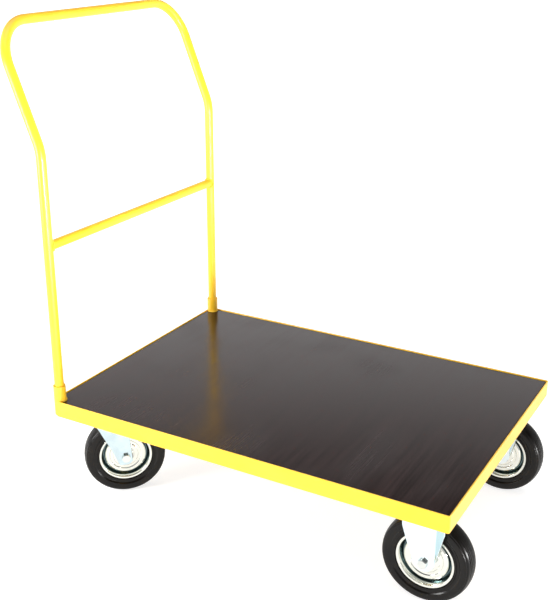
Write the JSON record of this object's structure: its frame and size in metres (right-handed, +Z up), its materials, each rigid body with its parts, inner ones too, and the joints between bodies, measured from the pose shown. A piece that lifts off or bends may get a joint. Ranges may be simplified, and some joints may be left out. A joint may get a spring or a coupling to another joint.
{
  "type": "platform cart",
  "caption": "Flat-bed platform cart with a tubular push handle that plugs into corner sockets, rigid casters in front and swivel casters under the handle.",
  "frame": {"origin": "on the floor, under the middle of the outer box", "axes": "+X towards the front, away from the handle; +Y to the left of someone pushing; +Z up"},
  "size_m": [1.1292, 0.7, 1.1482],
  "materials": {
    "yellow_powder_coat": "glossy powder coat",
    "film_faced_plywood": "smooth phenolic film, satin gloss",
    "zinc_pressing": "bright zinc plate on pressed steel",
    "zinc_disc": "bright zinc plate, polished",
    "zinc_fasteners": "zinc plate",
    "bearing_steel": "ground steel, oiled",
    "solid_rubber": "moulded black rubber, satin"
  },
  "bodies": {
    "platform": {"caster_bolts": "zinc_fasteners", "caster_nuts": "zinc_fasteners", "corner_plate_front_left": "yellow_powder_coat", "corner_plate_front_right": "yellow_powder_coat", "corner_plate_rear_left": "yellow_powder_coat", "corner_plate_rear_right": "yellow_powder_coat", "cross_bearer_front": "yellow_powder_coat", "cross_bearer_middle": "yellow_powder_coat", "cross_bearer_rear": "yellow_powder_coat", "deck_board": "film_faced_plywood", "deck_screws": "zinc_fasteners", "frame_rail_front": "yellow_powder_coat", "frame_rail_left": "yellow_powder_coat", "frame_rail_rear": "yellow_powder_coat", "frame_rail_right": "yellow_powder_coat", "front_axle_bolts": "zinc_fasteners", "front_axle_nuts": "zinc_fasteners", "front_axle_sleeves": "bearing_steel", "front_left_fork": "zinc_pressing", "front_right_fork": "zinc_pressing", "handle_socket_left": "yellow_powder_coat", "handle_socket_right": "yellow_powder_coat", "rear_left_king_pin": "zinc_fasteners", "rear_left_race_balls": "bearing_steel", "rear_left_top_plate": "zinc_pressing", "rear_right_king_pin": "zinc_fasteners", "rear_right_race_balls": "bearing_steel", "rear_right_top_plate": "zinc_pressing"},
    "handle": {"handle_crossbar": "yellow_powder_coat", "handle_tube": "yellow_powder_coat"},
    "rear_right_swivel": {"rear_right_axle_bolt": "zinc_fasteners", "rear_right_axle_nut": "zinc_fasteners", "rear_right_axle_sleeve": "bearing_steel", "rear_right_fork": "zinc_pressing"},
    "rear_left_swivel": {"rear_left_axle_bolt": "zinc_fasteners", "rear_left_axle_nut": "zinc_fasteners", "rear_left_axle_sleeve": "bearing_steel", "rear_left_fork": "zinc_pressing"},
    "front_right_wheel": {"front_right_hub": "zinc_pressing", "front_right_rim_disc_left": "zinc_disc", "front_right_rim_disc_right": "zinc_disc", "front_right_roller_bearing": "bearing_steel", "front_right_tyre": "solid_rubber"},
    "front_left_wheel": {"front_left_hub": "zinc_pressing", "front_left_rim_disc_left": "zinc_disc", "front_left_rim_disc_right": "zinc_disc", "front_left_roller_bearing": "bearing_steel", "front_left_tyre": "solid_rubber"},
    "rear_right_wheel": {"rear_right_hub": "zinc_pressing", "rear_right_rim_disc_left": "zinc_disc", "rear_right_rim_disc_right": "zinc_disc", "rear_right_roller_bearing": "bearing_steel", "rear_right_tyre": "solid_rubber"},
    "rear_left_wheel": {"rear_left_hub": "zinc_pressing", "rear_left_rim_disc_left": "zinc_disc", "rear_left_rim_disc_right": "zinc_disc", "rear_left_roller_bearing": "bearing_steel", "rear_left_tyre": "solid_rubber"}
  },
  "joints": [
    {"name": "handle_lift", "type": "slide", "parent": "platform", "child": "handle", "axis": [0, 0, 1], "range_m": [0, 0.12]},
    {"name": "rear_right_swivel", "type": "hinge", "parent": "platform", "child": "rear_right_swivel", "pos_m": [-0.39137, -0.254, 0.2], "axis": [0, 0, 1], "continuous": true},
    {"name": "rear_right_spin", "type": "hinge", "parent": "rear_right_swivel", "child": "rear_right_wheel", "pos_m": [-0.35451, -0.22022, 0.1], "axis": [-0.6756, 0.7373, 0], "continuous": true},
    {"name": "front_right_spin", "type": "hinge", "parent": "platform", "child": "front_right_wheel", "pos_m": [0.46463, -0.254, 0.1], "axis": [0, 1, 0], "continuous": true},
    {"name": "rear_left_swivel", "type": "hinge", "parent": "platform", "child": "rear_left_swivel", "pos_m": [-0.39137, 0.254, 0.2], "axis": [0, 0, 1], "continuous": true},
    {"name": "rear_left_spin", "type": "hinge", "parent": "rear_left_swivel", "child": "rear_left_wheel", "pos_m": [-0.34852, 0.27975, 0.1], "axis": [-0.515, 0.8572, 0], "continuous": true},
    {"name": "front_left_spin", "type": "hinge", "parent": "platform", "child": "front_left_wheel", "pos_m": [0.46463, 0.254, 0.1], "axis": [0, 1, 0], "continuous": true}
  ]
}
